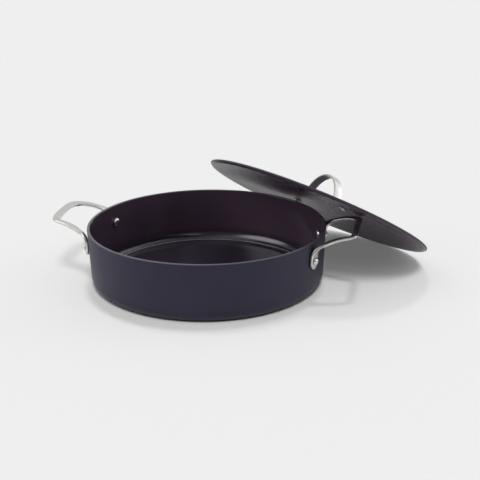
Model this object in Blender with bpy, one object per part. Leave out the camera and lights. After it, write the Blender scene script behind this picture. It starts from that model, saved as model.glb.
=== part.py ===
"""Saute pan with two riveted strap handles and a domed lid that leans on its rim.

Metres, +Z up. The origin is the centre of the pan's base, on the surface that
the pan stands on. +X runs along the line through the two side handles.
"""
import bpy
import bmesh
from math import pi, sin, cos, tan, atan2, radians, sqrt
from mathutils import Matrix, Vector

# ------------------------------------------------------------------ dimensions
GAP = 0.0003                 # clearance between neighbouring pieces

# pan
RIM_RADIUS = 0.1500          # outside, at the rim
PAN_HEIGHT = 0.0750
WALL_LINE_RADIUS = 0.1464    # where the outer wall line meets the base plane
WALL = 0.0035
FLOOR = 0.0046
BASE_FILLET = 0.0166         # outside, wall into base
INNER_FILLET = 0.0130
RIM_ROUND = 0.0011
PAN_STEPS = 96

# side handles
RIVET_AZIMUTH = radians(19.50)   # each side of the handle's axis
RIVET_Z = 0.0519
STRAP = 0.0033               # thickness
LOOP_WIDTH = 0.0092
BAR_WIDTH = 0.0086
TAB_WIDTH = 0.0156
TAB_BELOW = 0.0102           # from rivet centre to the tab's lower end
BAR_REACH = 0.1882           # bar's centreline, from the pan's axis
CORNER_Y = 0.0364            # where the bar's line meets the leg's line
CORNER_SPREAD = 0.0066       # how far the corner's rounding spreads along the strap
LEG_BOW = 0.0006             # outwards
LOOP_Z = 0.0770              # top face of the loop's middle line, at the rim's radius
LOOP_RISE = 0.481            # its slope there
LOOP_FLATTEN = 0.01155       # what the curve takes off again at the bar
LOOP_ARCH = 0.0066           # drop of the loop from its middle line to 50 mm beside it
LOOP_TILT = 0.39             # rise of the strap's outer edge over its inner one
BEND_TOP = 0.0575            # where the tab starts to bend away from the wall
BEND_OUT = 0.0075            # where the bend ends, from the wall

# rivets
SHANK_RADIUS = 0.0025
HOLE_RADIUS = 0.0028
INNER_HEAD_RADIUS = 0.0058
INNER_HEAD_HEIGHT = 0.0042
OUTER_HEAD_RADIUS = 0.0047
OUTER_HEAD_HEIGHT = 0.0032
UNDER_HEAD_RADIUS = 0.0053
UNDER_HEAD_HEIGHT = 0.0029

# lid
LID_RADIUS = 0.1508
LID_SHEET = 0.0029
LID_EDGE = 0.0034
LID_DOME = 0.0070            # depth of the hollow underneath
LID_DOME_POWER = 3.0         # flatter in the middle than a parabola
LID_RIM_WIDTH = 0.0060       # flat band round the underside
LID_STEPS = 96
LID_TILT = radians(31.77)
LID_HEADING = radians(53.65)
LID_CENTRE_X = 0.13023
LID_CENTRE_Y = 0.07397
LID_HANDLE_TURN = radians(70.0)

# lid handle
ARCH_HALF = 0.0394           # half axes of the crown, outer face
ARCH_HEIGHT = 0.0367
ARCH_SPRING = 0.0150         # height where the crown meets the straight legs
ARCH_STRAP = 0.0026
ARCH_WIDTH = 0.0112
ARCH_TAB_WIDTH = 0.0150
ARCH_RIVET = 0.0585          # rivet to the lid's axis
ARCH_TAB_END = 0.0085
ARCH_FILLET = 0.0065         # tangent length of the turn from leg to foot


# ------------------------------------------------------------------ clean start
for old in list(bpy.data.objects):
    bpy.data.objects.remove(old, do_unlink=True)


# ------------------------------------------------------------------ helpers
def material(name, colour, roughness, metallic):
    m = bpy.data.materials.new(name)
    m.use_nodes = True
    shader = m.node_tree.nodes["Principled BSDF"]
    shader.inputs["Base Color"].default_value = (*colour, 1.0)
    shader.inputs["Roughness"].default_value = roughness
    shader.inputs["Metallic"].default_value = metallic
    m.diffuse_color = (*colour, 1.0)
    return m


def add_object(name, mesh, mat, parent=None, matrix=None):
    ob = bpy.data.objects.new(name, mesh)
    bpy.context.scene.collection.objects.link(ob)
    if mat is not None:
        mesh.materials.append(mat)
    if parent is not None:
        ob.parent = parent
    if matrix is not None:
        ob.matrix_local = matrix
    return ob


def smooth(mesh, angle=35):
    mesh.shade_smooth()
    mesh.set_sharp_from_angle(angle=radians(angle))


def arc(cx, cz, r, a0, a1, n):
    """Points of an arc from a0 to a1, both ends included."""
    return [(cx + r * cos(a0 + (a1 - a0) * i / n), cz + r * sin(a0 + (a1 - a0) * i / n))
            for i in range(n + 1)]


def turned(name, profile, steps):
    """A solid of revolution about Z. The profile of (radius, height) runs from the
    axis at the bottom, out and up its outer side, and back to the axis at the top."""
    bm = bmesh.new()
    chain = [bm.verts.new((r, 0.0, z)) for r, z in profile]
    edges = [bm.edges.new((chain[i], chain[i + 1])) for i in range(len(chain) - 1)]
    bmesh.ops.spin(bm, geom=chain + edges, cent=(0, 0, 0), axis=(0, 0, 1),
                   dvec=(0, 0, 0), angle=2 * pi, steps=steps, use_merge=True,
                   use_duplicate=False)
    bmesh.ops.remove_doubles(bm, verts=bm.verts, dist=0.00001)
    bmesh.ops.recalc_face_normals(bm, faces=bm.faces)
    mesh = bpy.data.meshes.new(name)
    bm.to_mesh(mesh)
    bm.free()
    smooth(mesh)
    return mesh


def rounded_section(width, thick, r, n=2):
    """Corner-rounded rectangle as (across, depth) with the top face at depth 0."""
    r = min(r, 0.45 * thick, 0.45 * width)
    pts = []
    for cx, cz, a0 in ((width / 2 - r, -r, 0.0), (-width / 2 + r, -r, pi / 2),
                       (-width / 2 + r, -thick + r, pi), (width / 2 - r, -thick + r, 1.5 * pi)):
        pts += arc(cx, cz, r, a0, a0 + pi / 2, n)
    return pts


def strap(name, stations, thick, corner=0.0008):
    """A strap swept through stations of (point, across, up, width). The point lies on
    the top face, and up points out of that face. Across need not be square to the path."""
    bm = bmesh.new()
    rings = []
    for point, across, up, width in stations:
        rings.append([bm.verts.new(point + across * a + up * d)
                      for a, d in rounded_section(width, thick, corner)])
    n = len(rings[0])
    for r0, r1 in zip(rings, rings[1:]):
        for i in range(n):
            j = (i + 1) % n
            bm.faces.new((r0[i], r0[j], r1[j], r1[i]))
    bm.faces.new(list(reversed(rings[0])))
    bm.faces.new(rings[-1])
    bmesh.ops.recalc_face_normals(bm, faces=bm.faces)
    mesh = bpy.data.meshes.new(name)
    bm.to_mesh(mesh)
    bm.free()
    smooth(mesh, 40)
    return mesh


def bezier(p0, p1, p2, p3, t):
    u = 1 - t
    return p0 * (u ** 3) + p1 * (3 * u * u * t) + p2 * (3 * u * t * t) + p3 * (t ** 3)


def smoothstep(t):
    t = max(0.0, min(1.0, t))
    return t * t * (3 - 2 * t)


def resample(points, count):
    """The same path with count points at equal spacing."""
    run = [0.0]
    for a, b in zip(points, points[1:]):
        run.append(run[-1] + (b - a).length)
    out, k = [], 0
    for i in range(count):
        s = run[-1] * i / (count - 1)
        while k < len(run) - 2 and run[k + 1] < s:
            k += 1
        t = (s - run[k]) / (run[k + 1] - run[k])
        out.append(points[k].lerp(points[k + 1], min(1.0, max(0.0, t))))
    return out


def soften(points, passes):
    """Rounds small kinks off a path and keeps its two ends."""
    for _ in range(passes):
        points = [points[0]] + [(a + b * 2 + c) / 4 for a, b, c in
                                zip(points, points[1:], points[2:])] + [points[-1]]
    return points


def drill(ob, matrix, radius, length, name):
    """A round hole along the cutter's own Z."""
    bm = bmesh.new()
    bmesh.ops.create_cone(bm, cap_ends=True, segments=16, radius1=radius, radius2=radius,
                          depth=length)
    mesh = bpy.data.meshes.new(name)
    bm.to_mesh(mesh)
    bm.free()
    cutter = add_object(name, mesh, None)
    cutter.matrix_world = matrix
    cutter.hide_render = True
    cutter.display_type = 'WIRE'
    mod = ob.modifiers.new(name, 'BOOLEAN')
    mod.operation = 'DIFFERENCE'
    mod.solver = 'EXACT'
    mod.object = cutter
    return cutter


def frame_z(point, direction):
    """A matrix at the point whose Z runs along the direction."""
    m = direction.to_track_quat('Z', 'X').to_matrix().to_4x4()
    m.translation = point
    return m


# ------------------------------------------------------------------ materials
anodised = material("anodised_outside", (0.030, 0.028, 0.040), 0.55, 0.6)
anodised_lid = material("anodised_lid", (0.030, 0.028, 0.036), 0.50, 0.6)
steel_side_l = material("satin_steel_left", (0.62, 0.61, 0.59), 0.30, 1.0)
steel_side_r = material("satin_steel_right", (0.62, 0.61, 0.59), 0.30, 1.0)
steel_lid = material("satin_steel_lid", (0.62, 0.61, 0.59), 0.30, 1.0)


def rivet_material(name):
    return material(name, (0.70, 0.69, 0.68), 0.25, 1.0)


# ------------------------------------------------------------------ pan body
flare = atan2(RIM_RADIUS - WALL_LINE_RADIUS, PAN_HEIGHT)


def outer_radius(z):
    return WALL_LINE_RADIUS + (RIM_RADIUS - WALL_LINE_RADIUS) * z / PAN_HEIGHT


def inner_radius(z):
    return outer_radius(z) - WALL / cos(flare)


def pan_profile():
    # outside fillet, tangent to the base plane and to the sloping wall
    cr = WALL_LINE_RADIUS - BASE_FILLET * (1 - sin(flare)) / cos(flare)
    pts = [(0.0, 0.0)]
    pts += arc(cr, BASE_FILLET, BASE_FILLET, -pi / 2, -flare, 5)
    # rim: outer round, crown, inner round
    zc = PAN_HEIGHT - RIM_ROUND
    pts += arc(outer_radius(zc) - RIM_ROUND, zc, RIM_ROUND, 0.0, pi / 2, 2)
    pts += arc(inner_radius(zc) + RIM_ROUND, zc, RIM_ROUND, pi / 2, pi, 2)
    # inside fillet and cooking surface
    ci = inner_radius(FLOOR) - INNER_FILLET * (1 - sin(flare)) / cos(flare)
    pts += arc(ci, FLOOR + INNER_FILLET, INNER_FILLET, -flare, -pi / 2, 4)
    pts.append((0.0, FLOOR))
    return pts


pan_body = add_object("pan_body", turned("pan_body", pan_profile(), PAN_STEPS), anodised)


# ------------------------------------------------------------------ side handles
def wall_normal(side):
    a = RIVET_AZIMUTH * side
    return Vector((cos(a) * cos(flare), sin(a) * cos(flare), -sin(flare)))


def wall_point(side, z, off):
    """A point off the outer wall at the rivet's azimuth."""
    a = RIVET_AZIMUTH * side
    p = Vector((outer_radius(z) * cos(a), outer_radius(z) * sin(a), z))
    return p + wall_normal(side) * off


def loop_point(x, y):
    u = max(0.0, (x - RIM_RADIUS) / (BAR_REACH - RIM_RADIUS))
    return Vector((x, y, LOOP_Z + LOOP_RISE * (x - RIM_RADIUS) - LOOP_FLATTEN * u * u
                   - LOOP_ARCH * (y / 0.050) ** 2))


def side_handle_stations():
    a = RIVET_AZIMUTH
    # plan view of half the loop: straight bar, corner, leg
    corner = Vector((BAR_REACH, CORNER_Y, 0))
    r_leg = outer_radius(0.068) + BEND_OUT
    foot = Vector((outer_radius(0.068) * cos(a), outer_radius(0.068) * sin(a), 0))
    run = foot - corner
    side = Vector((-run.y, run.x, 0)).normalized()
    if side.y < 0:
        side = -side
    plan = [Vector((BAR_REACH, CORNER_Y * i / 40, 0)) for i in range(40)]
    plan += [corner + run * (i / 60) + side * (LEG_BOW * 4 * (i / 60) * (1 - i / 60))
             for i in range(61)]
    plan = resample(plan, 241)
    step = (plan[1] - plan[0]).length
    # the two halves together, so that the rounding is the same on both sides
    whole = [Vector((p.x, -p.y, 0)) for p in reversed(plan[1:])] + plan
    whole = soften(whole, int(round(2 * (CORNER_SPREAD / step) ** 2)))
    plan = [p for p in whole[240:] if sqrt(p.x ** 2 + p.y ** 2) > r_leg or p.x > 0.165]
    loop = [loop_point(p.x, p.y) for p in plan]
    t_leg = (loop[-1] - loop[-8]).normalized()
    # bend: from the leg down onto the wall
    down = Vector((-cos(a) * sin(flare), -sin(a) * sin(flare), -cos(flare)))
    tab_top = wall_point(1, BEND_TOP, GAP)
    bend = [bezier(loop[-1], loop[-1] + t_leg * 0.0062, tab_top - down * 0.0066, tab_top, i / 24)
            for i in range(1, 25)]
    tab_end = wall_point(1, RIVET_Z, GAP) + down * TAB_BELOW
    tab = [tab_top.lerp(tab_end, i / 20) for i in range(1, 21)]
    path = loop + bend + tab
    run = [0.0]
    for p, q in zip(path, path[1:]):
        run.append(run[-1] + (q - p).length)
    s_leg, s_tab, s_end = run[len(loop) - 1], run[len(loop) + 23], run[-1]
    wall_across = Vector((-sin(a), cos(a), 0))

    def at(s):
        k = 0
        while k < len(run) - 2 and run[k + 1] < s:
            k += 1
        t = (s - run[k]) / max(1e-12, run[k + 1] - run[k])
        k0, k1 = max(0, k - 2), min(len(path) - 1, k + 3)
        d = down if s >= s_tab else (path[k1] - path[k0]).normalized()
        return path[k].lerp(path[k + 1], t), d

    # stations: closer where the strap turns
    tip = TAB_WIDTH / 2
    s_a, s_b = 0.62 * CORNER_Y, 1.42 * CORNER_Y
    marks = [s_a * i / 3 for i in range(3)]
    marks += [s_a + (s_b - s_a) * i / 11 for i in range(11)]
    marks += [s_b + (s_leg - s_b) * i / 5 for i in range(5)]
    marks += [s_leg + (s_tab - s_leg) * i / 8 for i in range(8)]
    marks += [s_tab] + [s_end - tip * cos(pi / 2 * i / 6.5) for i in range(7)]
    half = []
    for s in marks:
        p, d = at(s)
        w = BAR_WIDTH + (LOOP_WIDTH - BAR_WIDTH) * smoothstep(s / CORNER_Y)
        if s < s_leg:
            # square to the path, then turned in the strap's plane to lie along the bend
            square = Vector((d.y, -d.x, 0)).normalized()
            level = smoothstep((s - s_leg + 0.022) / 0.022)
            square = (square + Vector((0, 0, square.x * LOOP_TILT * (1 - level)))).normalized()
            across = square.lerp(wall_across, smoothstep((s - s_leg + 0.012) / 0.012)).normalized()
            skew = across.dot(square)
        else:
            across = wall_across
        up = across.cross(d).normalized()
        w /= skew
        w += (TAB_WIDTH - w) * smoothstep((s - s_leg + 0.003) / (s_tab - s_leg + 0.004))
        if s > s_end - tip:
            w = TAB_WIDTH * sqrt(max(0.0, 1 - ((s - s_end + tip) / tip) ** 2))
        half.append((p, across, up, w))
    other = [(Vector((p.x, -p.y, p.z)), Vector((c.x, -c.y, c.z)), Vector((u.x, -u.y, u.z)), w)
             for p, c, u, w in reversed(half[1:])]
    return other + half


handle_mesh = strap("side_handle", side_handle_stations(), STRAP)
for key, angle, mat in (("right_handle", 0.0, steel_side_r), ("left_handle", pi, steel_side_l)):
    mesh = handle_mesh.copy()
    mesh.name = key
    add_object(key, mesh, mat, matrix=Matrix.Rotation(angle, 4, 'Z'))
bpy.data.meshes.remove(handle_mesh)


# ------------------------------------------------------------------ rivets
def rivet_profile(grip, low_radius, low_height, high_radius, high_height):
    """Domed head, shank and second domed head. Height 0 is under the lower head and
    the grip is the distance between the two heads."""
    def head(radius, height, n=4):
        edge = height * 0.30
        pts = [(radius, edge * 0.0), (radius, edge)]
        # the dome's flank is an ellipse quarter
        for i in range(1, n + 1):
            t = pi / 2 * i / n
            pts.append((radius * cos(t), edge + (height - edge) * sin(t)))
        return pts
    low = [(r, -z) for r, z in head(low_radius, low_height)][::-1]
    high = [(r, grip + z) for r, z in head(high_radius, high_height)]
    low[0] = (0.0, low[0][1])
    high[-1] = (0.0, high[-1][1])
    return low + [(SHANK_RADIUS, 0.0), (SHANK_RADIUS, grip)] + high


side_grip = WALL + STRAP + 3 * GAP + 0.0001
side_rivet = turned("side_rivet", rivet_profile(side_grip, INNER_HEAD_RADIUS, INNER_HEAD_HEIGHT,
                                                OUTER_HEAD_RADIUS, OUTER_HEAD_HEIGHT), 14)
for hand, turn in (("right", 0.0), ("left", pi)):
    spin = Matrix.Rotation(turn, 4, 'Z')
    for side in (1, -1):
        at = frame_z(wall_point(side, RIVET_Z, -WALL - GAP - 0.0001), wall_normal(side))
        row = "a" if side > 0 else "b"
        mesh = side_rivet.copy()
        mesh.name = f"{hand}_handle_rivet_{row}"
        add_object(mesh.name, mesh, rivet_material(mesh.name + "_steel"), matrix=spin @ at)
        hole = frame_z(wall_point(side, RIVET_Z, 0.0), wall_normal(side))
        drill(pan_body, spin @ hole, HOLE_RADIUS, 0.024, f"cut_wall_{hand}_{row}")
        drill(bpy.data.objects[f"{hand}_handle"], spin @ hole, HOLE_RADIUS, 0.022,
              f"cut_tab_{hand}_{row}")
bpy.data.meshes.remove(side_rivet)


# ------------------------------------------------------------------ lid
def lid_under(r):
    """Height of the lid's underside over the plane of its lower edge."""
    hollow = LID_RADIUS - 0.0030 - LID_RIM_WIDTH * 0.5
    return LID_DOME * max(0.0, 1 - (r / hollow) ** LID_DOME_POWER)


def lid_top(r):
    return lid_under(r) + LID_SHEET


def lid_profile():
    hollow = LID_RADIUS - 0.0030 - LID_RIM_WIDTH * 0.5
    foot = LID_RADIUS - 0.0030
    pts = [(0.0, lid_under(0.0))]
    rings = [hollow * (i / 5) ** 0.7 for i in range(1, 6)]
    pts += [(r, lid_under(r)) for r in rings]
    # rounded lower corner, outer edge, rounded upper corner
    r1 = 0.0012
    pts += [(foot, 0.0), (LID_RADIUS - 0.0008, LID_EDGE * 0.28)]
    pts += [(LID_RADIUS, LID_EDGE * 0.55)]
    pts += arc(LID_RADIUS - r1, LID_EDGE - r1, r1, 0.0, pi / 2, 2)[1:]
    pts += [(r, lid_top(r)) for r in reversed(rings)]
    pts.append((0.0, lid_top(0.0)))
    return pts


profile = lid_profile()
# the lid's lowest point, tilted, comes to rest one gap above the surface
lowest = min(-r * sin(LID_TILT) + z * cos(LID_TILT) for r, z in profile)
lid_frame = bpy.data.objects.new("lid_frame", None)
bpy.context.scene.collection.objects.link(lid_frame)
lid_frame.matrix_world = (Matrix.Translation((LID_CENTRE_X, LID_CENTRE_Y, GAP - lowest))
                          @ Matrix.Rotation(LID_HEADING, 4, 'Z')
                          @ Matrix.Rotation(LID_TILT, 4, 'Y')
                          @ Matrix.Rotation(LID_HANDLE_TURN, 4, 'Z'))
lid_frame.empty_display_size = 0.03

lid = add_object("lid", turned("lid", profile, LID_STEPS), anodised_lid, parent=lid_frame)


# ------------------------------------------------------------------ lid handle
def arch_stations():
    base = lid_top(0.045) + GAP
    # the crown, outer face, from the top down to where the legs go straight
    t_spring = sqrt(1 - (ARCH_SPRING / ARCH_HEIGHT) ** 2)
    a_spring = atan2(ARCH_SPRING / ARCH_HEIGHT, t_spring)
    path = []
    for i in range(41):
        t = pi / 2 + (a_spring - pi / 2) * i / 40
        path.append(Vector((ARCH_HALF * cos(t), 0, base + ARCH_HEIGHT * sin(t))))
    lean = (path[-1] - path[-2]).normalized()
    # the outer face of the leg meets the outer face of the foot at the corner
    def foot(x):
        return Vector((x, 0, lid_top(x) + GAP + ARCH_STRAP))
    corner = path[-1]
    for _ in range(3):
        corner = corner + lean * ((corner.z - foot(corner.x).z) / -lean.z)
    start = corner - lean * ARCH_FILLET
    for i in range(1, 9):
        path.append(path[40].lerp(start, i / 8))
    end = foot(corner.x + ARCH_FILLET)
    run_in = (foot(end.x + 0.001) - end).normalized()
    for i in range(1, 13):
        path.append(bezier(start, start + lean * ARCH_FILLET * 0.6, end - run_in * ARCH_FILLET * 0.6,
                           end, i / 12))
    for i in range(1, 11):
        x = end.x + (ARCH_RIVET + ARCH_TAB_END - end.x) * i / 10
        path.append(foot(x))
    run = [0.0]
    for p, q in zip(path, path[1:]):
        run.append(run[-1] + (q - p).length)
    s_end = run[-1]

    def at(s):
        k = 0
        while k < len(run) - 2 and run[k + 1] < s:
            k += 1
        t = (s - run[k]) / max(1e-12, run[k + 1] - run[k])
        k0, k1 = max(0, k - 1), min(len(path) - 1, k + 2)
        return path[k].lerp(path[k + 1], t), (path[k1] - path[k0]).normalized()

    tip = ARCH_TAB_WIDTH / 2
    s_foot = run[40 + 8 + 12]
    marks = [run[40] * i / 10 for i in range(10)]
    marks += [run[40] + (run[48] - run[40]) * i / 2 for i in range(2)]
    marks += [run[48] + (s_foot - run[48]) * i / 6 for i in range(6)]
    marks += [s_foot, 0.5 * (s_foot + s_end - tip)] if s_end - tip - s_foot > 0.001 else [s_foot]
    marks += [s_end - tip * cos(pi / 2 * i / 5.5) for i in range(6)]
    half = []
    for s in marks:
        p, d = at(s)
        n = d.cross(Vector((0, 1, 0))).normalized()
        w = ARCH_WIDTH + (ARCH_TAB_WIDTH - ARCH_WIDTH) * smoothstep((s - run[44]) / (s_foot - run[44]))
        if s > s_end - tip:
            u = (s - (s_end - tip)) / tip
            w = ARCH_TAB_WIDTH * sqrt(max(0.0, 1 - u * u))
        half.append((p, Vector((0, 1, 0)), n, w))
    half[0] = (half[0][0], Vector((0, 1, 0)), Vector((0, 0, 1)), half[0][3])
    other = [(Vector((-p.x, p.y, p.z)), c, Vector((-n.x, n.y, n.z)), w)
             for p, c, n, w in reversed(half[1:])]
    return other + half


lid_handle = add_object("lid_handle", strap("lid_handle", arch_stations(), ARCH_STRAP, 0.0007),
                        steel_lid, parent=lid_frame)

lid_grip = LID_SHEET + ARCH_STRAP + 3 * GAP + 0.0002
lid_rivet = turned("lid_rivet", rivet_profile(lid_grip, UNDER_HEAD_RADIUS, UNDER_HEAD_HEIGHT,
                                              OUTER_HEAD_RADIUS, 0.0024), 14)
for side, row in ((1, "a"), (-1, "b")):
    slope = (lid_under(ARCH_RIVET - 0.001) - lid_under(ARCH_RIVET + 0.001)) / 0.002
    up = Vector((slope * side, 0, 1)).normalized()
    seat = Vector((ARCH_RIVET * side, 0, lid_under(ARCH_RIVET))) - up * (GAP + 0.0001)
    mesh = lid_rivet.copy()
    mesh.name = f"lid_handle_rivet_{row}"
    add_object(mesh.name, mesh, rivet_material(mesh.name + "_steel"), parent=lid_frame,
               matrix=frame_z(seat, up))
    middle = frame_z(Vector((ARCH_RIVET * side, 0, lid_top(ARCH_RIVET))), up)
    drill(lid, lid_frame.matrix_world @ middle, HOLE_RADIUS, 0.020, f"cut_lid_{row}")
    drill(lid_handle, lid_frame.matrix_world @ middle, HOLE_RADIUS, 0.020, f"cut_foot_{row}")
bpy.data.meshes.remove(lid_rivet)
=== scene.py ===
"""Looks of a two-handled saute pan and its leaning lid: fine meshes, procedural
metal and coating materials, a plain pale floor and soft studio light."""

from math import pi, sin, cos, tan, atan2, radians, degrees, sqrt

import bpy
import numpy as np
from mathutils import Matrix, Vector


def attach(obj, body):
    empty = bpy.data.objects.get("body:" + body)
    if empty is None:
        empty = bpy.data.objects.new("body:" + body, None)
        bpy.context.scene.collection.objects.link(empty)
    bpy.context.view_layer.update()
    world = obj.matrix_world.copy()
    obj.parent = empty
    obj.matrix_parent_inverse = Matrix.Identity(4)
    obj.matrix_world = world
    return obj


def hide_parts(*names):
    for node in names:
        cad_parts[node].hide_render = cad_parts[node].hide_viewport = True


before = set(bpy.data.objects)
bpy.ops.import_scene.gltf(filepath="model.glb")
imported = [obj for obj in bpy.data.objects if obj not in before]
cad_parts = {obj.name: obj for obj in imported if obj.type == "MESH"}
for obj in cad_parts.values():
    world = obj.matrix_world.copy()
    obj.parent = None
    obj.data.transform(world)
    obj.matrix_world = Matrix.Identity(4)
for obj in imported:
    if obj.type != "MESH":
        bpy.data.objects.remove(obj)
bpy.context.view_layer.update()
scene = bpy.context.scene

# ------------------------------------------------------------------ dimensions
# the same driving dimensions as the solids, in metres
GAP = 0.0003

RIM_RADIUS = 0.1500
PAN_HEIGHT = 0.0750
WALL_LINE_RADIUS = 0.1464
WALL = 0.0035
FLOOR = 0.0046
BASE_FILLET = 0.0166
INNER_FILLET = 0.0130
FLOOR_EDGE = 0.1360           # painted highlight line and bead round the floor
RIM_ROUND = 0.0011

RIVET_AZIMUTH = radians(19.50)
RIVET_Z = 0.0519
STRAP = 0.0033
LOOP_WIDTH = 0.0092
BAR_WIDTH = 0.0086
TAB_WIDTH = 0.0156
TAB_BELOW = 0.0102
BAR_REACH = 0.1882
CORNER_Y = 0.0364
CORNER_SPREAD = 0.0066
LEG_BOW = 0.0006
LOOP_Z = 0.0770
LOOP_RISE = 0.481
LOOP_FLATTEN = 0.01155
LOOP_ARCH = 0.0066
LOOP_TILT = 0.39
BEND_TOP = 0.0575
BEND_OUT = 0.0075

SHANK_RADIUS = 0.0025
INNER_HEAD_RADIUS = 0.0058
INNER_HEAD_HEIGHT = 0.0042
OUTER_HEAD_RADIUS = 0.0047
OUTER_HEAD_HEIGHT = 0.0032
UNDER_HEAD_RADIUS = 0.0053
UNDER_HEAD_HEIGHT = 0.0029

LID_RADIUS = 0.1508
LID_SHEET = 0.0029
LID_EDGE = 0.0034
LID_DOME = 0.0070
LID_DOME_POWER = 3.0
LID_RIM_WIDTH = 0.0060
LID_TILT = radians(31.77)
LID_HEADING = radians(53.65)
LID_CENTRE_X = 0.13023
LID_CENTRE_Y = 0.07397
LID_HANDLE_TURN = radians(70.0)

ARCH_HALF = 0.0394
ARCH_HEIGHT = 0.0367
ARCH_SPRING = 0.0150
ARCH_STRAP = 0.0026
ARCH_WIDTH = 0.0112
ARCH_TAB_WIDTH = 0.0150
ARCH_RIVET = 0.0585
ARCH_TAB_END = 0.0085
ARCH_FILLET = 0.0065

TURNS = 288                  # steps round each turned surface

flare = atan2(RIM_RADIUS - WALL_LINE_RADIUS, PAN_HEIGHT)


# ------------------------------------------------------------------ mesh helpers
def arc(cx, cz, r, a0, a1, n):
    return [(cx + r * cos(a0 + (a1 - a0) * i / n), cz + r * sin(a0 + (a1 - a0) * i / n))
            for i in range(n + 1)]


def line(p, q, n):
    """Points from p to q, p left out."""
    return [(p[0] + (q[0] - p[0]) * i / n, p[1] + (q[1] - p[1]) * i / n)
            for i in range(1, n + 1)]


def turned(name, profile, steps, parts=None, sharp=40):
    """A surface of revolution about Z through (radius, height) points that start and
    end on the axis. parts gives a material index for each stretch of the profile."""
    prof = [profile[0]]
    kinds = []
    for i in range(1, len(profile)):
        a, b = prof[-1], profile[i]
        if abs(a[0] - b[0]) + abs(a[1] - b[1]) > 1e-7:
            prof.append(b)
            kinds.append(parts[i - 1] if parts else 0)
    ang = np.linspace(0, 2 * pi, steps, endpoint=False)
    verts, rows = [], []
    for r, z in prof:
        if r < 1e-9:
            rows.append([len(verts)])
            verts.append((0.0, 0.0, z))
        else:
            rows.append(list(range(len(verts), len(verts) + steps)))
            verts += [(r * cos(a), r * sin(a), z) for a in ang]
    faces, mats = [], []
    for k, (lo, hi) in enumerate(zip(rows, rows[1:])):
        for i in range(steps):
            j = (i + 1) % steps
            if len(lo) == 1:
                face = (lo[0], hi[j], hi[i])
            elif len(hi) == 1:
                face = (lo[i], lo[j], hi[0])
            else:
                face = (lo[i], lo[j], hi[j], hi[i])
            faces.append(face)
            mats.append(kinds[k])
    mesh = bpy.data.meshes.new(name)
    mesh.from_pydata(verts, [], faces)
    mesh.polygons.foreach_set("material_index", mats)
    mesh.validate()
    mesh.shade_smooth()
    mesh.set_sharp_from_angle(angle=radians(sharp))
    return mesh


def rounded_section(width, thick, r, n=6):
    r = min(r, 0.45 * thick, 0.45 * width)
    pts = []
    for cx, cz, a0 in ((width / 2 - r, -r, 0.0), (-width / 2 + r, -r, pi / 2),
                       (-width / 2 + r, -thick + r, pi), (width / 2 - r, -thick + r, 1.5 * pi)):
        pts += arc(cx, cz, r, a0, a0 + pi / 2, n)
    return pts


def strap(name, stations, thick, corner):
    """A strap swept through stations of (point, across, up, width), with a UV map that
    runs along it and round it in metres."""
    verts, runs = [], []
    run, last = 0.0, None
    for point, across, up, width in stations:
        if last is not None:
            run += (point - last).length
        last = point
        runs.append(run)
        verts += [point + across * a + up * d for a, d in rounded_section(width, thick, corner)]
    n = len(verts) // len(stations)
    faces, uvs = [], []
    round_ = [0.0]
    mid = verts[(len(stations) // 2) * n:(len(stations) // 2 + 1) * n]
    for a, b in zip(mid, mid[1:] + mid[:1]):
        round_.append(round_[-1] + (b - a).length)
    for k in range(len(stations) - 1):
        for i in range(n):
            j = (i + 1) % n
            faces.append((k * n + i, k * n + j, (k + 1) * n + j, (k + 1) * n + i))
            uvs += [(runs[k], round_[i]), (runs[k], round_[i + 1]),
                    (runs[k + 1], round_[i + 1]), (runs[k + 1], round_[i])]
    first, final = list(range(n))[::-1], [(len(stations) - 1) * n + i for i in range(n)]
    faces += [tuple(first), tuple(final)]
    uvs += [(runs[0], round_[i]) for i in first] + [(runs[-1], round_[i]) for i in range(n)]
    mesh = bpy.data.meshes.new(name)
    mesh.from_pydata([tuple(v) for v in verts], [], faces)
    layer = mesh.uv_layers.new(name="along")
    layer.data.foreach_set("uv", [c for uv in uvs for c in uv])
    mesh.shade_smooth()
    mesh.set_sharp_from_angle(angle=radians(50))
    turn_out(mesh)
    return mesh


def turn_out(mesh):
    """Faces point outwards: the signed volume is positive."""
    mesh.calc_loop_triangles()
    vol = 0.0
    for t in mesh.loop_triangles:
        a, b, c = (mesh.vertices[i].co for i in t.vertices)
        vol += a.dot(b.cross(c)) / 6
    if vol < 0:
        mesh.flip_normals()


def bezier(p0, p1, p2, p3, t):
    u = 1 - t
    return p0 * (u ** 3) + p1 * (3 * u * u * t) + p2 * (3 * u * t * t) + p3 * (t ** 3)


def smoothstep(t):
    t = max(0.0, min(1.0, t))
    return t * t * (3 - 2 * t)


def resample(points, count):
    run = [0.0]
    for a, b in zip(points, points[1:]):
        run.append(run[-1] + (b - a).length)
    out, k = [], 0
    for i in range(count):
        s = run[-1] * i / (count - 1)
        while k < len(run) - 2 and run[k + 1] < s:
            k += 1
        t = (s - run[k]) / (run[k + 1] - run[k])
        out.append(points[k].lerp(points[k + 1], min(1.0, max(0.0, t))))
    return out


def soften(points, passes):
    for _ in range(passes):
        points = [points[0]] + [(a + b * 2 + c) / 4 for a, b, c in
                                zip(points, points[1:], points[2:])] + [points[-1]]
    return points


def frame_z(point, direction):
    m = direction.to_track_quat('Z', 'X').to_matrix().to_4x4()
    m.translation = point
    return m


def place(name, mesh, mats, body, nodes, matrix=None, at=None):
    """A finished piece that rides on its body and stands for its CAD node. matrix moves
    its vertices, at moves the object with its own coordinates."""
    if matrix is not None:
        mesh.transform(matrix)
        mesh.update()
    ob = bpy.data.objects.new(name, mesh)
    scene.collection.objects.link(ob)
    for m in mats:
        mesh.materials.append(m)
    if at is not None:
        ob.matrix_world = at
    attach(ob, body)
    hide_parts(*nodes)
    return ob


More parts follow.
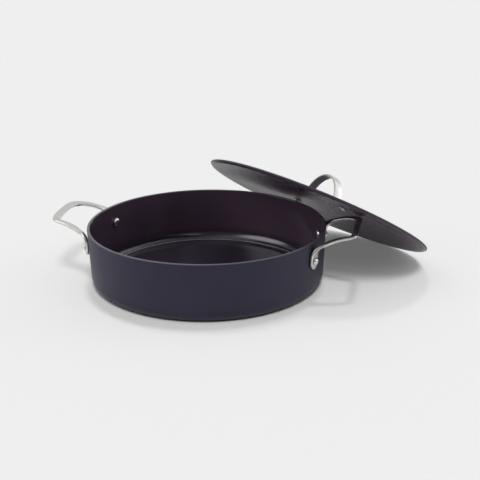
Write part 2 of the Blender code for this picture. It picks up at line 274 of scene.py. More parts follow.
# ------------------------------------------------------------------ shader helpers
class Net:
    """Short names for building a material's nodes."""

    def __init__(self, name):
        self.mat = bpy.data.materials.new(name)
        self.mat.use_nodes = True
        self.tree = self.mat.node_tree
        self.shader = self.tree.nodes["Principled BSDF"]
        self.coord = self.tree.nodes.new("ShaderNodeTexCoord")

    def link(self, a, b):
        self.tree.links.new(a, b)

    def put(self, socket, value):
        if hasattr(value, "is_output"):
            self.link(value, socket)
        elif isinstance(value, (tuple, list)) and len(value) == 3 and socket.type == "RGBA":
            socket.default_value = (*value, 1.0)
        else:
            socket.default_value = value

    def own(self, matrix=None):
        """Object coordinates, or those of a piece whose vertices matrix has moved."""
        if matrix is None:
            return self.coord.outputs["Object"]
        n = self.tree.nodes.new("ShaderNodeMapping")
        n.vector_type = "TEXTURE"
        self.link(self.coord.outputs["Object"], n.inputs["Vector"])
        n.inputs["Location"].default_value = matrix.to_translation()
        n.inputs["Rotation"].default_value = matrix.to_euler("XYZ")
        return n.outputs[0]

    def scaled(self, vector, scale):
        n = self.tree.nodes.new("ShaderNodeMapping")
        self.link(vector, n.inputs["Vector"])
        n.inputs["Scale"].default_value = scale
        return n.outputs[0]

    def noise(self, vector, scale, detail=2.0, rough=0.5, distortion=0.0):
        n = self.tree.nodes.new("ShaderNodeTexNoise")
        self.link(vector, n.inputs["Vector"])
        n.inputs["Scale"].default_value = scale
        n.inputs["Detail"].default_value = detail
        n.inputs["Roughness"].default_value = rough
        n.inputs["Distortion"].default_value = distortion
        return n.outputs["Fac"]

    def cells(self, vector, scale, feature="F1"):
        n = self.tree.nodes.new("ShaderNodeTexVoronoi")
        n.feature = feature
        self.link(vector, n.inputs["Vector"])
        n.inputs["Scale"].default_value = scale
        return n.outputs["Distance"]

    def math(self, op, a, b=0.0, c=0.0, clamp=False):
        n = self.tree.nodes.new("ShaderNodeMath")
        n.operation = op
        n.use_clamp = clamp
        for s, v in zip(n.inputs, (a, b, c)):
            self.put(s, v)
        return n.outputs[0]

    def span(self, value, lo, hi, to_lo=0.0, to_hi=1.0, smooth=False):
        n = self.tree.nodes.new("ShaderNodeMapRange")
        n.interpolation_type = "SMOOTHSTEP" if smooth else "LINEAR"
        n.clamp = True
        for key, v in (("Value", value), ("From Min", lo), ("From Max", hi),
                       ("To Min", to_lo), ("To Max", to_hi)):
            self.put(n.inputs[key], v)
        return n.outputs[0]

    def mix(self, fac, a, b, mode="MIX"):
        n = self.tree.nodes.new("ShaderNodeMix")
        n.data_type = "RGBA"
        n.blend_type = mode
        self.put(n.inputs[0], fac)
        self.put(n.inputs[6], a)
        self.put(n.inputs[7], b)
        return n.outputs[2]

    def parts(self, vector):
        n = self.tree.nodes.new("ShaderNodeSeparateXYZ")
        self.link(vector, n.inputs[0])
        return n.outputs[0], n.outputs[1], n.outputs[2]

    def join(self, x, y, z):
        n = self.tree.nodes.new("ShaderNodeCombineXYZ")
        for s, v in zip(n.inputs, (x, y, z)):
            self.put(s, v)
        return n.outputs[0]

    def radius(self, vector):
        x, y, _ = self.parts(vector)
        return self.math("SQRT", self.math("ADD", self.math("MULTIPLY", x, x),
                                           self.math("MULTIPLY", y, y)))

    def bump(self, height, distance, strength=1.0, normal=None):
        n = self.tree.nodes.new("ShaderNodeBump")
        n.inputs["Strength"].default_value = strength
        n.inputs["Distance"].default_value = distance
        self.link(height, n.inputs["Height"])
        if normal is not None:
            self.link(normal, n.inputs["Normal"])
        return n.outputs[0]

    def out(self, **values):
        for key, v in values.items():
            self.put(self.shader.inputs[key.replace("_", " ")], v)
        return self.mat


def anodised_outside(name, dark, light, rim_highlight, rim_from, rim_to, seed, metallic=0.0,
                     specular=0.30, rough=(0.44, 0.54), matrix=None):
    """Hard-anodised aluminium with a fine blasted grain, and a pale band painted along the rim's crown
    as a highlight."""
    n = Net(name)
    co = n.own(matrix)
    shifted = n.tree.nodes.new("ShaderNodeVectorMath")
    shifted.operation = "ADD"
    n.link(co, shifted.inputs[0])
    shifted.inputs[1].default_value = (seed, seed * 0.37, seed * 0.71)
    v = shifted.outputs[0]
    broad = n.noise(v, 13.0, 4.0, 0.55, 0.3)
    grain = n.noise(v, 1150.0, 3.0, 0.62)
    fine = n.noise(v, 3300.0, 2.0, 0.5)
    pits = n.cells(v, 620.0)
    colour = n.mix(n.span(broad, 0.34, 0.66), dark, light)
    colour = n.mix(n.span(grain, 0.36, 0.64, 0.0, 0.42), colour,
                   n.mix(0.5, colour, tuple(c * 1.9 for c in light)))
    colour = n.mix(n.span(pits, 0.02, 0.16, 0.30, 0.0), colour, tuple(c * 0.45 for c in dark))
    # painted highlight: a pale band along the rim's crown
    _, _, z = n.parts(co)
    edge = n.span(n.math("ADD", z, n.math("MULTIPLY", n.math("SUBTRACT", broad, 0.5), 0.0006)),
                  rim_from, rim_to, 0.0, 1.0, smooth=True)
    edge = n.math("MULTIPLY", edge, n.span(grain, 0.30, 0.60, 0.55, 1.0))
    colour = n.mix(edge, colour, rim_highlight)
    roughness = n.math("ADD", n.span(broad, 0.32, 0.68, *rough),
                       n.math("MULTIPLY", n.math("SUBTRACT", grain, 0.5), 0.14))
    roughness = n.math("SUBTRACT", roughness, n.math("MULTIPLY", edge, 0.14))
    height = n.math("ADD", n.math("MULTIPLY", grain, 0.7), n.math("MULTIPLY", fine, 0.3))
    normal = n.bump(height, 0.00012, 0.35)
    return n.out(Base_Color=colour, Roughness=roughness, Metallic=metallic,
                 Specular_IOR_Level=specular, Normal=normal)


def coated_inside(name, dark, light, seed, specular=0.5, rough=(0.17, 0.22), rings=0.00085,
                  ring_depth=0.000006, matrix=None, painted_floor_shade=None, highlight_ring_at=None, tint=(1.0, 1.0, 1.0),
                  peel_depth=0.00005):
    """Smooth dark non-stick coating, sprayed over a faintly turned surface. The floor and its fillet
    can be given their own darker, greyer pair of colours, painted shade against walls painted lighter,
    and a thin pale line can be painted round the floor as a highlight."""
    n = Net(name)
    co = n.own(matrix)
    shifted = n.tree.nodes.new("ShaderNodeVectorMath")
    shifted.operation = "ADD"
    n.link(co, shifted.inputs[0])
    shifted.inputs[1].default_value = (seed, seed * 0.53, seed * 0.29)
    v = shifted.outputs[0]
    broad = n.noise(v, 10.0, 3.0, 0.5, 0.2)
    peel = n.noise(v, 260.0, 2.0, 0.5)
    speck = n.noise(v, 2400.0, 2.0, 0.7)
    flakes = n.cells(v, 900.0)
    r = n.radius(co)
    colour = n.mix(n.span(broad, 0.34, 0.66), dark, light)
    # painted light and shade: walls above the fillet painted lighter than the darker, greyer floor
    if painted_floor_shade:
        shaded_floor_colour = n.mix(n.span(broad, 0.34, 0.66), *painted_floor_shade)
        _, _, z = n.parts(co)
        edge = n.span(n.math("ADD", z, n.math("MULTIPLY", n.math("SUBTRACT", broad, 0.5), 0.008)),
                      0.011, 0.024, 0.0, 1.0, smooth=True)
        colour = n.mix(edge, shaded_floor_colour, colour)
    # painted highlight: a thin pale line round the floor's edge
    if highlight_ring_at:
        off = n.math("ABSOLUTE", n.math("SUBTRACT", r, highlight_ring_at))
        _, _, z = n.parts(co)
        highlight_ring = n.math("MULTIPLY", n.span(off, 0.0003, 0.0011, 1.0, 0.0, smooth=True),
                       n.span(z, 0.007, 0.008, 1.0, 0.0))
        highlight_ring = n.math("MULTIPLY", highlight_ring, n.span(peel, 0.30, 0.55, 0.65, 1.0))
        colour = n.mix(highlight_ring, colour, (0.170, 0.160, 0.185))
    speckle = n.mix(1.0, colour, (1.0, 1.0, 1.0), "ADD")
    colour = n.mix(n.span(speck, 0.56, 0.74, 0.0, 0.018), colour, speckle)
    colour = n.mix(n.span(flakes, 0.0, 0.10, 0.020, 0.0), colour, speckle)
    roughness = n.math("ADD", n.span(broad, 0.32, 0.68, *rough),
                       n.math("MULTIPLY", n.math("SUBTRACT", peel, 0.5), 1000.0 * peel_depth))
    wave = n.math("SINE", n.math("MULTIPLY", r, 2 * pi / rings))
    normal = n.bump(wave, ring_depth, 0.5)
    normal = n.bump(n.math("ADD", n.math("MULTIPLY", peel, 0.8), n.math("MULTIPLY", speck, 0.2)),
                    peel_depth, 0.4, normal)
    return n.out(Base_Color=colour, Roughness=roughness, Specular_IOR_Level=specular,
                 Specular_Tint=tint, Normal=normal)


def satin_steel(name, dark, light, seed, rough=(0.24, 0.34)):
    """Stainless steel strap with a satin finish rubbed along its length."""
    n = Net(name)
    uv = n.coord.outputs["UV"]
    co = n.coord.outputs["Object"]
    u, v, _ = n.parts(uv)
    lines = n.noise(n.join(n.math("MULTIPLY", u, 26.0), n.math("MULTIPLY", v, 2600.0), seed),
                    1.0, 3.0, 0.6)
    hair = n.noise(n.join(n.math("MULTIPLY", u, 90.0), n.math("MULTIPLY", v, 7000.0), seed + 3),
                   1.0, 2.0, 0.55)
    broad = n.noise(co, 42.0, 3.0, 0.5, 0.4)
    smear = n.noise(co, 130.0, 4.0, 0.6, 1.2)
    colour = n.mix(n.span(lines, 0.30, 0.70), dark, light)
    colour = n.mix(n.span(broad, 0.52, 0.72, 0.0, 0.25), colour, tuple(c * 0.82 for c in dark))
    roughness = n.math("ADD", n.span(lines, 0.28, 0.72, *rough),
                       n.math("ADD", n.math("MULTIPLY", n.math("SUBTRACT", smear, 0.5), 0.10),
                              n.math("MULTIPLY", n.math("SUBTRACT", broad, 0.5), 0.08)))
    height = n.math("ADD", n.math("MULTIPLY", lines, 0.65), n.math("MULTIPLY", hair, 0.35))
    normal = n.bump(height, 0.00003, 0.30)
    return n.out(Base_Color=colour, Roughness=roughness, Metallic=1.0, Normal=normal)


def rivet_steel(name, dark, light, seed):
    """Pressed rivet head with faint turning rings and small scuffs."""
    n = Net(name)
    co = n.coord.outputs["Object"]
    r = n.radius(co)
    wobble = n.noise(co, 300.0, 2.0, 0.5)
    rings = n.math("SINE", n.math("MULTIPLY", n.math("ADD", r, n.math("MULTIPLY", wobble, 0.0002)),
                                  2 * pi / 0.00034))
    scuff = n.noise(n.scaled(co, (1.0, 3.2, 1.0)), 900.0, 3.0, 0.65, 0.6)
    broad = n.noise(co, 160.0, 2.0, 0.5)
    colour = n.mix(n.span(scuff, 0.34, 0.66), dark, light)
    colour = n.mix(n.span(broad, 0.55, 0.75, 0.0, 0.3), colour, tuple(c * 0.8 for c in dark))
    roughness = n.math("ADD", n.span(scuff, 0.30, 0.70, 0.20, 0.32),
                       n.math("MULTIPLY", n.math("SUBTRACT", broad, 0.5), 0.10))
    normal = n.bump(rings, 0.000004, 0.35)
    normal = n.bump(scuff, 0.00002, 0.3, normal)
    return n.out(Base_Color=colour, Roughness=roughness, Metallic=1.0, Normal=normal)


# ------------------------------------------------------------------ camera
turn = 0.19652               # the photograph looks along +Y turned by this about Z
focal = 981.5
tilt = 0.33731
scale = 0.78843
roll = -0.00559
target_x, target_z = 0.04153, 0.05179
reach = focal / scale / 1000
spin = Matrix.Rotation(turn, 3, 'Z')
centre = Vector((target_x, -reach * cos(tilt), target_z + reach * sin(tilt)))
forward = Vector((0.0, cos(tilt), -sin(tilt)))
side = Vector((1.0, 0.0, 0.0))
rise = side.cross(forward)
right = side * cos(roll) + rise * sin(roll)
up = rise * cos(roll) - side * sin(roll)
right, up, forward, centre = spin @ right, spin @ up, spin @ forward, spin @ centre
data = bpy.data.cameras.new("camera")
data.sensor_width = 36.0
data.lens = 36.0 * focal / 480.0
data.clip_start, data.clip_end = 0.05, 60.0
camera = bpy.data.objects.new("camera", data)
scene.collection.objects.link(camera)
camera.matrix_world = Matrix((
    (right.x, up.x, -forward.x, centre.x),
    (right.y, up.y, -forward.y, centre.y),
    (right.z, up.z, -forward.z, centre.z),
    (0.0, 0.0, 0.0, 1.0)))
scene.camera = camera


def view_direction(x, y, z):
    """A direction given with +X right and +Y away in the photograph, in the row frame."""
    return (spin @ Vector((x, y, z))).normalized()


# ------------------------------------------------------------------ light
scene.view_settings.view_transform = "Standard"
scene.view_settings.look = "None"
scene.view_settings.exposure = 0.0
scene.view_settings.gamma = 1.0


def lamp(name, towards, strength, angle, colour=(1.0, 1.0, 1.0), glossy=True):
    d = bpy.data.lights.new(name, "SUN")
    d.energy = strength
    d.angle = radians(angle)
    d.color = colour
    ob = bpy.data.objects.new(name, d)
    scene.collection.objects.link(ob)
    ob.rotation_mode = "QUATERNION"
    ob.rotation_quaternion = towards.to_track_quat('Z', 'Y')
    ob.location = towards * 2.0
    ob.visible_glossy = glossy
    return ob


def toward(azimuth, elevation):
    """A direction by its azimuth from the direction away, + to the right, in degrees."""
    a, e = radians(azimuth), radians(elevation)
    return view_direction(sin(a) * cos(e), cos(a) * cos(e), sin(e))


softbox_top = lamp("softbox_top", view_direction(0.0, 0.16, 0.985), 1.20, 15.0, glossy=False)
# soft lights that reach the floor alone
floor_front = lamp("floor_front", toward(175, 42), 0.80, 16.0)
floor_top_left = lamp("floor_top_left", toward(176, 53), 4.24, 14.0)
floor_top_right = lamp("floor_top_right", toward(20, 80), 1.38, 8.0)
floor_top_back = lamp("floor_top_back", toward(352, 73), 0.90, 9.0)

world = bpy.data.worlds.new("studio")
scene.world = world
world.use_nodes = True
wt = world.node_tree
background = wt.nodes["Background"]
wc = wt.nodes.new("ShaderNodeTexCoord")


def lobe(azimuth, elevation, inner, outer, radiance):
    """A soft panel of light: azimuth from the direction away, + to the right."""
    a, e = radians(azimuth), radians(elevation)
    dot = wt.nodes.new("ShaderNodeVectorMath")
    dot.operation = "DOT_PRODUCT"
    wt.links.new(wc.outputs["Generated"], dot.inputs[0])
    dot.inputs[1].default_value = view_direction(sin(a) * cos(e), cos(a) * cos(e), sin(e))
    n = wt.nodes.new("ShaderNodeMapRange")
    n.interpolation_type = "SMOOTHSTEP"
    wt.links.new(dot.outputs["Value"], n.inputs["Value"])
    n.inputs["From Min"].default_value = cos(radians(outer))
    n.inputs["From Max"].default_value = cos(radians(inner))
    n.inputs["To Min"].default_value = 0.0
    n.inputs["To Max"].default_value = radiance
    return n.outputs[0]


panels = [
    lobe(0, 14, 20, 75, 0.56),        # bright wall behind
    lobe(-112, 36, 10, 29, 2.60),     # large softbox at the left
    lobe(-108, 56, 8, 42, 0.50),
    lobe(-96, 4, 6, 22, 1.70),        # low strips at both sides
    lobe(76, 4, 10, 30, 3.00),
    lobe(112, 46, 7, 20, 1.90),       # small softbox at the right front
    lobe(30, 66, 10, 40, 0.22),
    lobe(62, 32, 8, 32, 0.70),        # fill at the right
    lobe(152, 40, 5, 18, 1.00),       # small softbox at the front
]
total = None
for out in panels:
    if total is None:
        total = out
        continue
    plus = wt.nodes.new("ShaderNodeMath")
    wt.links.new(total, plus.inputs[0])
    wt.links.new(out, plus.inputs[1])
    total = plus.outputs[0]
plus = wt.nodes.new("ShaderNodeMath")
wt.links.new(total, plus.inputs[0])
plus.inputs[1].default_value = 0.19
wt.links.new(plus.outputs[0], background.inputs["Color"])
background.inputs["Strength"].default_value = 1.0

# ------------------------------------------------------------------ floor
floor_mesh = bpy.data.meshes.new("floor")
floor_mesh.from_pydata([(-30, -30, 0), (30, -30, 0), (30, 30, 0), (-30, 30, 0)], [], [(0, 1, 2, 3)])
floor = bpy.data.objects.new("floor", floor_mesh)
scene.collection.objects.link(floor)
n = Net("pale_floor")
n.out(Base_Color=(0.30, 0.30, 0.30), Roughness=1.0, Specular_IOR_Level=0.0)
floor_mesh.materials.append(n.mat)
only_floor = bpy.data.collections.new("only_floor")
only_floor.objects.link(floor)
for ob in (floor_front, floor_top_left, floor_top_right, floor_top_back):
    ob.light_linking.receiver_collection = only_floor
not_floor = bpy.data.collections.new("not_floor")
not_floor.objects.link(floor)
not_floor.collection_objects[0].light_linking.link_state = "EXCLUDE"
softbox_top.light_linking.receiver_collection = not_floor

# ------------------------------------------------------------------ materials
coarse = [(LID_RADIUS - 0.0030, 0.0), (LID_RADIUS - 0.0008, LID_EDGE * 0.28),
          (LID_RADIUS, LID_EDGE * 0.55)]
lowest = min(-r * sin(LID_TILT) + z * cos(LID_TILT) for r, z in coarse)
lid_frame = (Matrix.Translation((LID_CENTRE_X, LID_CENTRE_Y, GAP - lowest))
             @ Matrix.Rotation(LID_HEADING, 4, 'Z')
             @ Matrix.Rotation(LID_TILT, 4, 'Y')
             @ Matrix.Rotation(LID_HANDLE_TURN, 4, 'Z'))

# the third colour is the pale painted highlight on the rim's crown
pan_outside = anodised_outside("pan_anodised", (0.0205, 0.0185, 0.0355), (0.0265, 0.0240, 0.0450),
                               (0.110, 0.100, 0.125), 0.07375, 0.07485, 0.0, specular=0.22)
# the wall colours are painted lighter than the floor pair below them, painted light and shade
pan_inside = coated_inside("pan_coating", (0.060, 0.0360, 0.0590), (0.071, 0.0450, 0.0700), 0.0,
                           specular=0.75, rough=(0.105, 0.145),
                           painted_floor_shade=((0.018, 0.0145, 0.0225), (0.025, 0.0200, 0.0300)),
                           highlight_ring_at=FLOOR_EDGE, tint=(0.95, 0.93, 1.0))
lid_outside = anodised_outside("lid_anodised", (0.030, 0.0275, 0.040), (0.038, 0.035, 0.049),
                               (0.090, 0.085, 0.100), 0.2, 0.3, 1.7, matrix=lid_frame)
lid_inside = coated_inside("lid_lining", (0.044, 0.0245, 0.0470), (0.054, 0.0315, 0.0570), 2.3,
                           specular=0.145, rough=(0.25, 0.30), ring_depth=0.0000025,
                           peel_depth=0.000018, matrix=lid_frame, tint=(0.95, 0.93, 1.0))
steel_left = satin_steel("steel_left_handle", (0.60, 0.585, 0.565), (0.72, 0.705, 0.685), 1.0)
steel_right = satin_steel("steel_right_handle", (0.60, 0.585, 0.565), (0.72, 0.705, 0.685), 5.0)
steel_lid = satin_steel("steel_lid_handle", (0.60, 0.585, 0.565), (0.72, 0.705, 0.685), 9.0)
steel_rivet = rivet_steel("steel_rivet", (0.62, 0.61, 0.60), (0.78, 0.77, 0.76), 0.0)


# ------------------------------------------------------------------ pan body
def outer_radius(z):
    return WALL_LINE_RADIUS + (RIM_RADIUS - WALL_LINE_RADIUS) * z / PAN_HEIGHT


def inner_radius(z):
    return outer_radius(z) - WALL / cos(flare)


def fillet_height(r, ci):
    x = max(0.0, r - ci)
    return FLOOR + INNER_FILLET - sqrt(INNER_FILLET ** 2 - x * x)


def pan_profile():
    cr = WALL_LINE_RADIUS - BASE_FILLET * (1 - sin(flare)) / cos(flare)
    pts = [(0.0, 0.0)]
    pts += line(pts[-1], (cr, 0.0), 14)
    pts += arc(cr, BASE_FILLET, BASE_FILLET, -pi / 2, -flare, 24)
    zc = PAN_HEIGHT - RIM_ROUND
    crown = arc(outer_radius(zc) - RIM_ROUND, zc, RIM_ROUND, 0.0, pi / 2, 8)
    pts += line(pts[-1], crown[0], 16)
    pts += crown
    outside = len(pts) - 1
    crown = arc(inner_radius(zc) + RIM_ROUND, zc, RIM_ROUND, pi / 2, pi, 8)
    pts += line(pts[-1], crown[0], 3)
    outside = len(pts) - 1
    pts += crown
    ci = inner_radius(FLOOR) - INNER_FILLET * (1 - sin(flare)) / cos(flare)
    fillet = arc(ci, FLOOR + INNER_FILLET, INNER_FILLET, -flare, -pi / 2, 24)
    pts += line(pts[-1], fillet[0], 12)
    # a low bead round the floor, on the last stretch of the fillet
    pts += [p for p in fillet if p[0] > FLOOR_EDGE + 0.0008]
    pts += [(FLOOR_EDGE + 0.0007 * cos(pi * i / 10),
             fillet_height(FLOOR_EDGE + 0.0007 * cos(pi * i / 10), ci) + 0.00026 * sin(pi * i / 10))
            for i in range(11)]
    pts += [p for p in fillet if p[0] < FLOOR_EDGE - 0.0008]
    pts += line(pts[-1], (0.0, FLOOR), 16)
    return pts, [0 if i < outside else 1 for i in range(len(pts) - 1)]


profile, kinds = pan_profile()
place("pan_shell", turned("pan_shell", profile, TURNS, kinds), [pan_outside, pan_inside],
      "pan", ["pan_body"])


# ------------------------------------------------------------------ side handles
def wall_normal(side_):
    a = RIVET_AZIMUTH * side_
    return Vector((cos(a) * cos(flare), sin(a) * cos(flare), -sin(flare)))


def wall_point(side_, z, off):
    a = RIVET_AZIMUTH * side_
    p = Vector((outer_radius(z) * cos(a), outer_radius(z) * sin(a), z))
    return p + wall_normal(side_) * off


def loop_point(x, y):
    u = max(0.0, (x - RIM_RADIUS) / (BAR_REACH - RIM_RADIUS))
    return Vector((x, y, LOOP_Z + LOOP_RISE * (x - RIM_RADIUS) - LOOP_FLATTEN * u * u
                   - LOOP_ARCH * (y / 0.050) ** 2))


def side_handle_stations():
    a = RIVET_AZIMUTH
    corner = Vector((BAR_REACH, CORNER_Y, 0))
    r_leg = outer_radius(0.068) + BEND_OUT
    foot = Vector((outer_radius(0.068) * cos(a), outer_radius(0.068) * sin(a), 0))
    run = foot - corner
    out = Vector((-run.y, run.x, 0)).normalized()
    if out.y < 0:
        out = -out
    plan = [Vector((BAR_REACH, CORNER_Y * i / 40, 0)) for i in range(40)]
    plan += [corner + run * (i / 60) + out * (LEG_BOW * 4 * (i / 60) * (1 - i / 60))
             for i in range(61)]
    plan = resample(plan, 241)
    step = (plan[1] - plan[0]).length
    whole = [Vector((p.x, -p.y, 0)) for p in reversed(plan[1:])] + plan
    whole = soften(whole, int(round(2 * (CORNER_SPREAD / step) ** 2)))
    plan = [p for p in whole[240:] if sqrt(p.x ** 2 + p.y ** 2) > r_leg or p.x > 0.165]
    loop = [loop_point(p.x, p.y) for p in plan]
    t_leg = (loop[-1] - loop[-8]).normalized()
    down = Vector((-cos(a) * sin(flare), -sin(a) * sin(flare), -cos(flare)))
    tab_top = wall_point(1, BEND_TOP, GAP)
    bend = [bezier(loop[-1], loop[-1] + t_leg * 0.0062, tab_top - down * 0.0066, tab_top, i / 24)
            for i in range(1, 25)]
    tab_end = wall_point(1, RIVET_Z, GAP) + down * TAB_BELOW
    tab = [tab_top.lerp(tab_end, i / 20) for i in range(1, 21)]
    path = loop + bend + tab
    run = [0.0]
    for p, q in zip(path, path[1:]):
        run.append(run[-1] + (q - p).length)
    s_leg, s_tab, s_end = run[len(loop) - 1], run[len(loop) + 23], run[-1]
    wall_across = Vector((-sin(a), cos(a), 0))

    def at(s):
        k = 0
        while k < len(run) - 2 and run[k + 1] < s:
            k += 1
        t = (s - run[k]) / max(1e-12, run[k + 1] - run[k])
        d0 = (path[min(len(path) - 1, k + 3)] - path[max(0, k - 2)]).normalized()
        d1 = (path[min(len(path) - 1, k + 4)] - path[max(0, k - 1)]).normalized()
        d = down if s >= s_tab else d0.lerp(d1, t).normalized()
        return path[k].lerp(path[k + 1], t), d

    tip = TAB_WIDTH / 2
    s_a, s_b = 0.62 * CORNER_Y, 1.42 * CORNER_Y
    marks = [s_a * i / 12 for i in range(12)]
    marks += [s_a + (s_b - s_a) * i / 44 for i in range(44)]
    marks += [s_b + (s_leg - s_b) * i / 20 for i in range(20)]
    marks += [s_leg + (s_tab - s_leg) * i / 32 for i in range(32)]
    marks += [s_tab] + [s_end - tip * cos(pi / 2 * i / 18.4) for i in range(19)]
    half = []
    for s in marks:
        p, d = at(s)
        w = BAR_WIDTH + (LOOP_WIDTH - BAR_WIDTH) * smoothstep(s / CORNER_Y)
        if s < s_leg:
            square = Vector((d.y, -d.x, 0)).normalized()
            level = smoothstep((s - s_leg + 0.022) / 0.022)
            square = (square + Vector((0, 0, square.x * LOOP_TILT * (1 - level)))).normalized()
            across = square.lerp(wall_across, smoothstep((s - s_leg + 0.012) / 0.012)).normalized()
            skew = across.dot(square)
        else:
            across = wall_across
        upward = across.cross(d).normalized()
        w /= skew
        w += (TAB_WIDTH - w) * smoothstep((s - s_leg + 0.003) / (s_tab - s_leg + 0.004))
        if s > s_end - tip:
            w = TAB_WIDTH * sqrt(max(0.0, 1 - ((s - s_end + tip) / tip) ** 2))
        half.append((p, across, upward, w))
    # one smooth pass over the directions, so that highlights run cleanly
    for _ in range(3):
        half = [half[0]] + [(b[0], (a_[1] + b[1] * 2 + c[1]).normalized(),
                             (a_[2] + b[2] * 2 + c[2]).normalized(), b[3])
                            for a_, b, c in zip(half, half[1:], half[2:])] + [half[-1]]
    other = [(Vector((p.x, -p.y, p.z)), Vector((c.x, -c.y, c.z)), Vector((u.x, -u.y, u.z)), w)
             for p, c, u, w in reversed(half[1:])]
    return other + half


handle_stations = side_handle_stations()
for key, angle, mat in (("right_handle", 0.0, steel_right), ("left_handle", pi, steel_left)):
    mesh = strap(key + "_strap", handle_stations, STRAP, 0.0010)
    mesh.transform(Matrix.Rotation(angle, 4, 'Z'))
    place(key + "_strap", mesh, [mat], "pan", [key])


# ------------------------------------------------------------------ rivets
def rivet_profile(grip, low_radius, low_height, high_radius, high_height):
    def head(radius, height, n=14):
        edge = height * 0.30
        soft = min(0.00025, edge * 0.6)
        pts = [(radius - soft * 0.5, 0.0), (radius, soft * 0.6), (radius, edge)]
        for i in range(1, n + 1):
            t = pi / 2 * i / n
            pts.append((radius * cos(t), edge + (height - edge) * sin(t)))
        return pts
    low = [(r, -z) for r, z in head(low_radius, low_height)][::-1]
    high = [(r, grip + z) for r, z in head(high_radius, high_height)]
    low[0] = (0.0, low[0][1])
    high[-1] = (0.0, high[-1][1])
    return low + [(SHANK_RADIUS, 0.0), (SHANK_RADIUS, grip)] + high


side_grip = WALL + STRAP + 3 * GAP + 0.0001
side_rivet = rivet_profile(side_grip, INNER_HEAD_RADIUS, INNER_HEAD_HEIGHT,
                           OUTER_HEAD_RADIUS, OUTER_HEAD_HEIGHT)
for hand, around in (("right", 0.0), ("left", pi)):
    for s, row in ((1, "a"), (-1, "b")):
        at = frame_z(wall_point(s, RIVET_Z, -WALL - GAP - 0.0001), wall_normal(s))
        name = f"{hand}_handle_rivet_{row}"
        place(name + "_fine", turned(name + "_fine", side_rivet, 48, sharp=60), [steel_rivet],
              "pan", [name], at=Matrix.Rotation(around, 4, 'Z') @ at)


# ------------------------------------------------------------------ lid
def lid_under(r):
    hollow = LID_RADIUS - 0.0030 - LID_RIM_WIDTH * 0.5
    return LID_DOME * max(0.0, 1 - (r / hollow) ** LID_DOME_POWER)


def lid_top(r):
    return lid_under(r) + LID_SHEET


def lid_profile():
    hollow = LID_RADIUS - 0.0030 - LID_RIM_WIDTH * 0.5
    foot = LID_RADIUS - 0.0030
    n = 40
    pts = [(0.0, lid_under(0.0))]
    rings = [hollow * (i / n) for i in range(1, n + 1)]
    pts += [(r, lid_under(r)) for r in rings]
    pts += line(pts[-1], (foot, 0.0), 3)
    pts += [(LID_RADIUS - 0.0020, 0.00018), (LID_RADIUS - 0.0008, LID_EDGE * 0.28)]
    inside = len(pts) - 1
    r1 = 0.0012
    pts += [(LID_RADIUS - 0.00025, LID_EDGE * 0.42), (LID_RADIUS, LID_EDGE * 0.55)]
    pts += arc(LID_RADIUS - r1, LID_EDGE - r1, r1, 0.0, pi / 2, 8)[1:]
    pts += line(pts[-1], (rings[-1], lid_top(rings[-1])), 2)
    pts += [(r, lid_top(r)) for r in reversed(rings[:-1])]
    pts.append((0.0, lid_top(0.0)))
    return pts, [1 if i < inside else 0 for i in range(len(pts) - 1)]


profile, kinds = lid_profile()
place("lid_shell", turned("lid_shell", profile, TURNS, kinds), [lid_outside, lid_inside],
      "lid", ["lid"], lid_frame)


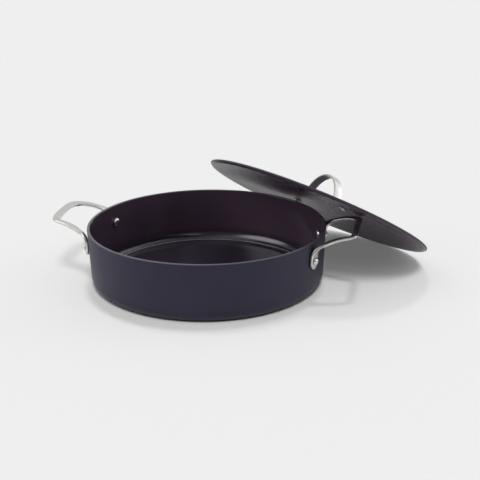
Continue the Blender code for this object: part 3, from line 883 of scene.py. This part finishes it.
# ------------------------------------------------------------------ lid handle
def arch_stations():
    base = lid_top(0.045) + GAP
    t_spring = sqrt(1 - (ARCH_SPRING / ARCH_HEIGHT) ** 2)
    a_spring = atan2(ARCH_SPRING / ARCH_HEIGHT, t_spring)
    path = []
    for i in range(41):
        t = pi / 2 + (a_spring - pi / 2) * i / 40
        path.append(Vector((ARCH_HALF * cos(t), 0, base + ARCH_HEIGHT * sin(t))))
    lean = (path[-1] - path[-2]).normalized()

    def foot(x):
        return Vector((x, 0, lid_top(x) + GAP + ARCH_STRAP))
    corner = path[-1]
    for _ in range(3):
        corner = corner + lean * ((corner.z - foot(corner.x).z) / -lean.z)
    start = corner - lean * ARCH_FILLET
    for i in range(1, 9):
        path.append(path[40].lerp(start, i / 8))
    end = foot(corner.x + ARCH_FILLET)
    run_in = (foot(end.x + 0.001) - end).normalized()
    for i in range(1, 13):
        path.append(bezier(start, start + lean * ARCH_FILLET * 0.6, end - run_in * ARCH_FILLET * 0.6,
                           end, i / 12))
    for i in range(1, 11):
        x = end.x + (ARCH_RIVET + ARCH_TAB_END - end.x) * i / 10
        path.append(foot(x))
    run = [0.0]
    for p, q in zip(path, path[1:]):
        run.append(run[-1] + (q - p).length)
    s_end = run[-1]

    def at(s):
        k = 0
        while k < len(run) - 2 and run[k + 1] < s:
            k += 1
        t = (s - run[k]) / max(1e-12, run[k + 1] - run[k])
        d0 = (path[min(len(path) - 1, k + 2)] - path[max(0, k - 1)]).normalized()
        d1 = (path[min(len(path) - 1, k + 3)] - path[max(0, k)]).normalized()
        return path[k].lerp(path[k + 1], t), d0.lerp(d1, t).normalized()

    tip = ARCH_TAB_WIDTH / 2
    s_foot = run[40 + 8 + 12]
    marks = [run[40] * i / 44 for i in range(44)]
    marks += [run[40] + (run[48] - run[40]) * i / 8 for i in range(8)]
    marks += [run[48] + (s_foot - run[48]) * i / 24 for i in range(24)]
    marks += [s_foot]
    marks += [s_end - tip * cos(pi / 2 * i / 16.4) for i in range(17)
              if s_end - tip * cos(pi / 2 * i / 16.4) > s_foot + 0.0002]
    half = []
    for s in marks:
        p, d = at(s)
        normal = d.cross(Vector((0, 1, 0))).normalized()
        w = ARCH_WIDTH + (ARCH_TAB_WIDTH - ARCH_WIDTH) * smoothstep((s - run[44]) / (s_foot - run[44]))
        if s > s_end - tip:
            u = (s - (s_end - tip)) / tip
            w = ARCH_TAB_WIDTH * sqrt(max(0.0, 1 - u * u))
        half.append((p, Vector((0, 1, 0)), normal, w))
    half[0] = (half[0][0], Vector((0, 1, 0)), Vector((0, 0, 1)), half[0][3])
    other = [(Vector((-p.x, p.y, p.z)), c, Vector((-m.x, m.y, m.z)), w)
             for p, c, m, w in reversed(half[1:])]
    return other + half


place("lid_handle_strap", strap("lid_handle_strap", arch_stations(), ARCH_STRAP, 0.0008),
      [steel_lid], "lid", ["lid_handle"], lid_frame)

lid_grip = LID_SHEET + ARCH_STRAP + 3 * GAP + 0.0002
lid_rivet = rivet_profile(lid_grip, UNDER_HEAD_RADIUS, UNDER_HEAD_HEIGHT, OUTER_HEAD_RADIUS, 0.0024)
for s, row in ((1, "a"), (-1, "b")):
    slope = (lid_under(ARCH_RIVET - 0.001) - lid_under(ARCH_RIVET + 0.001)) / 0.002
    axis = Vector((slope * s, 0, 1)).normalized()
    seat = Vector((ARCH_RIVET * s, 0, lid_under(ARCH_RIVET))) - axis * (GAP + 0.0001)
    name = f"lid_handle_rivet_{row}"
    place(name + "_fine", turned(name + "_fine", lid_rivet, 48, sharp=60), [steel_rivet],
          "lid", [name], at=lid_frame @ frame_z(seat, axis))

def passes(light, *starts):
    """The named pieces don't shade the floor from this light."""
    pieces = bpy.data.collections.new(light.name + "_passes")
    for ob in [o for o in bpy.data.objects if o.type == "MESH" and o.name.startswith(starts)]:
        pieces.objects.link(ob)
    for entry in pieces.collection_objects:
        entry.light_linking.link_state = "EXCLUDE"
    light.light_linking.blocker_collection = pieces


passes(floor_top_left, "right_")
passes(floor_top_right, "lid_", "left_")
passes(floor_top_back, "left_")
